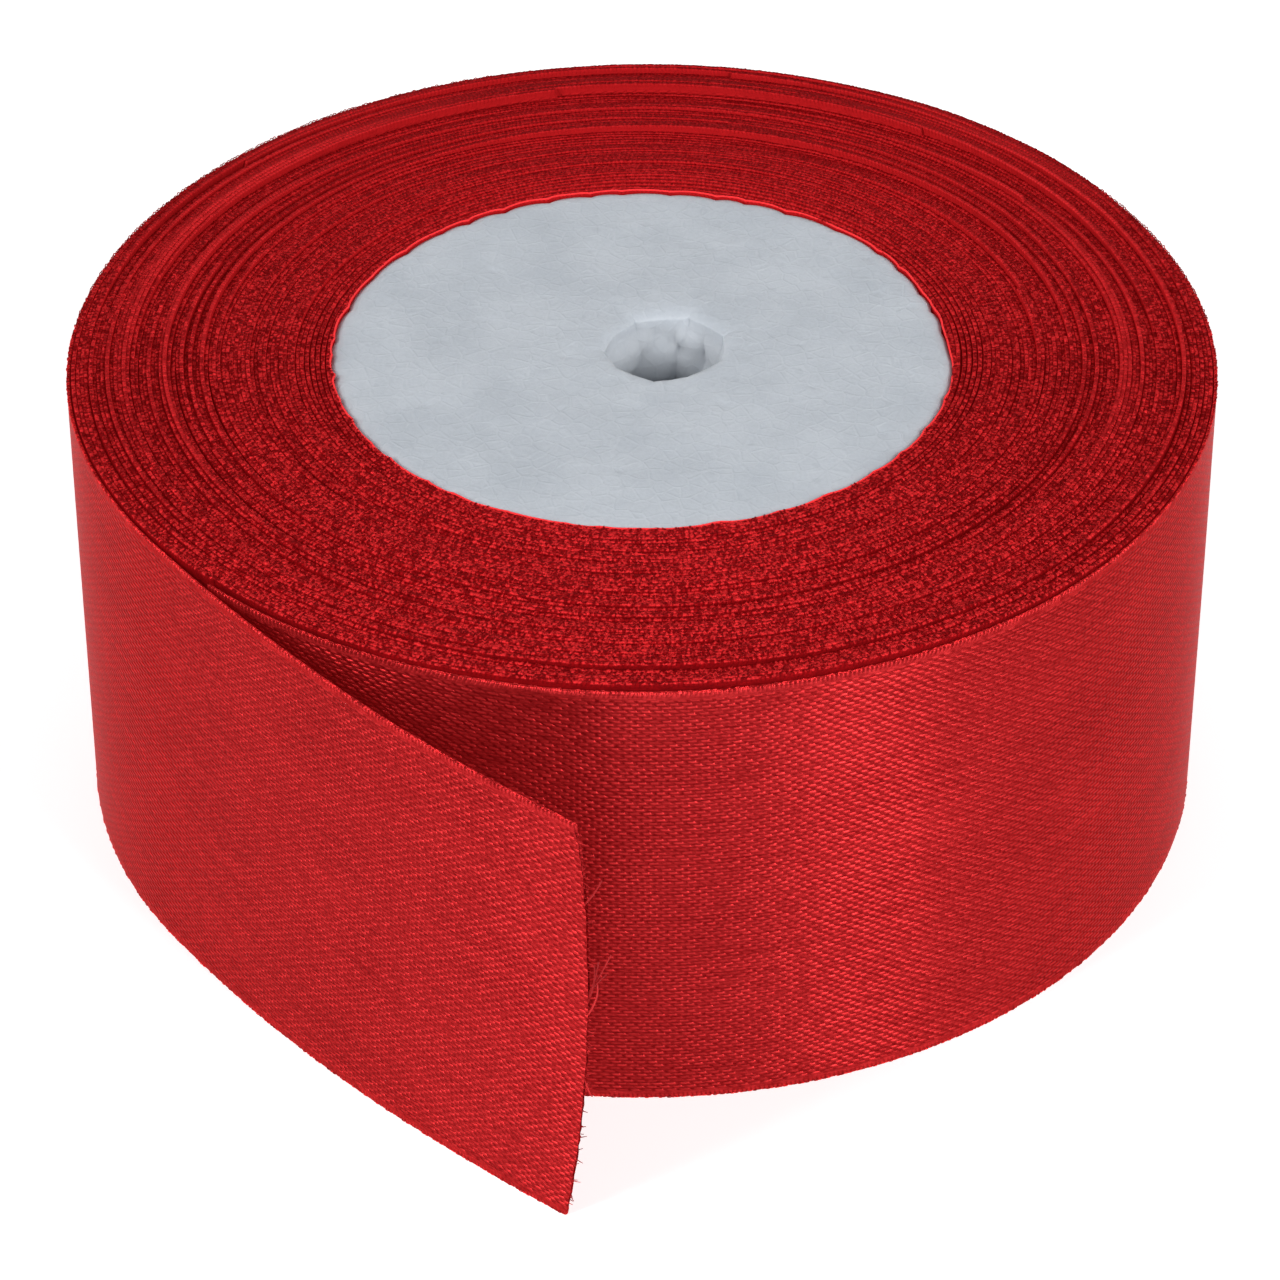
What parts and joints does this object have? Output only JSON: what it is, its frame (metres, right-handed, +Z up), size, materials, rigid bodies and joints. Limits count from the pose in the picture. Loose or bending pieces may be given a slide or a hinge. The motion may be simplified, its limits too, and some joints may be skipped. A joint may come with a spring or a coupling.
{
  "type": "ribbon spool",
  "caption": "Roll of single-face satin ribbon wound on a flangeless foam disc core with a spindle bore, with its loose last lap and free tail peeled off the side.",
  "frame": {"origin": "centre of the spindle bore at the bottom face, on the surface that the roll lies on; the roll's own centre is 1.2 mm left of it and 0.5 mm in front of it", "axes": "+Z up along the spindle bore; the free tail leaves the roll on the -X side and runs towards -Y"},
  "size_m": [0.06, 0.0699, 0.0259],
  "materials": {
    "satin": "satin",
    "foam": "matte",
    "tape": "gloss"
  },
  "bodies": {
    "roll": {"foam_core": "foam", "start_tape": "tape", "winding_band_1": "satin", "winding_band_2": "satin", "winding_band_3": "satin", "winding_band_4": "satin", "winding_band_5": "satin", "winding_band_6": "satin", "winding_band_7": "satin", "winding_band_8": "satin"},
    "last_lap": {"outer_lap": "satin"},
    "tail_root": {"tail_root": "satin"},
    "tail_end": {"tail_end": "satin"}
  },
  "joints": [
    {"name": "unwind", "type": "hinge", "parent": "roll", "child": "last_lap", "pos_m": [-0.0012, -0.0005, 0], "axis": [0, 0, 1], "continuous": true},
    {"name": "tail_peel", "type": "hinge", "parent": "last_lap", "child": "tail_root", "pos_m": [-0.02577, -0.01751, 0], "axis": [0, 0, -1], "range_deg": [0, 80], "stiffness_Nm_per_rad": 0.00005},
    {"name": "tail_flex", "type": "hinge", "parent": "tail_root", "child": "tail_end", "pos_m": [-0.01575, -0.02978, 0], "axis": [0, 0, -1], "range_deg": [-30, 60], "stiffness_Nm_per_rad": 0.00005}
  ]
}
